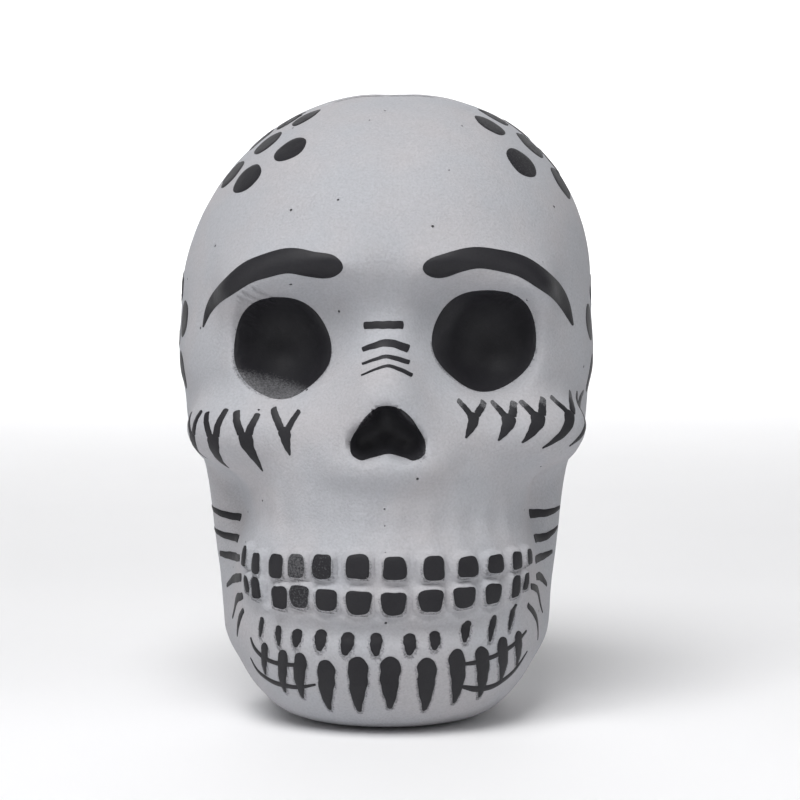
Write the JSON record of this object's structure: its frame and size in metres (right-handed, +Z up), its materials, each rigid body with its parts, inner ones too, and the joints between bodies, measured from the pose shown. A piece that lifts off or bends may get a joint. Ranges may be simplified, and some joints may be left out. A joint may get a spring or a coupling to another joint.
{
  "type": "foam skull",
  "caption": "Soft foam skull that stands on a flat base, with a painted face, flowers, teeth and jaw marks.",
  "frame": {"origin": "centre of the flat base the skull stands on", "axes": "+Z up to the crown, -Y the way the face looks, +X to a viewer's right when the viewer looks at the face"},
  "size_m": [0.0614, 0.0702, 0.09],
  "materials": {
    "foam_core": "open-cell soft polyurethane foam",
    "foam_skin": "matt light grey moulded foam skin",
    "black_paint": "flexible satin black paint"
  },
  "bodies": {
    "root": {"foam_core": "foam_core", "skin_front": "foam_skin", "skin_back": "foam_skin", "eye_paint_left": "black_paint", "eye_paint_right": "black_paint", "nose_paint": "black_paint", "brow_left": "black_paint", "brow_right": "black_paint", "bridge_stripes": "black_paint", "crown_flower_left": "black_paint", "crown_flower_right": "black_paint", "temple_flower_left": "black_paint", "temple_flower_right": "black_paint", "cheek_lashes_left": "black_paint", "cheek_lashes_right": "black_paint", "upper_teeth": "black_paint", "lower_teeth": "black_paint", "chin_drops": "black_paint", "chin_fangs": "black_paint", "jaw_stripes_left": "black_paint", "jaw_stripes_right": "black_paint", "corner_stitches_left": "black_paint", "corner_stitches_right": "black_paint"}
  },
  "joints": []
}
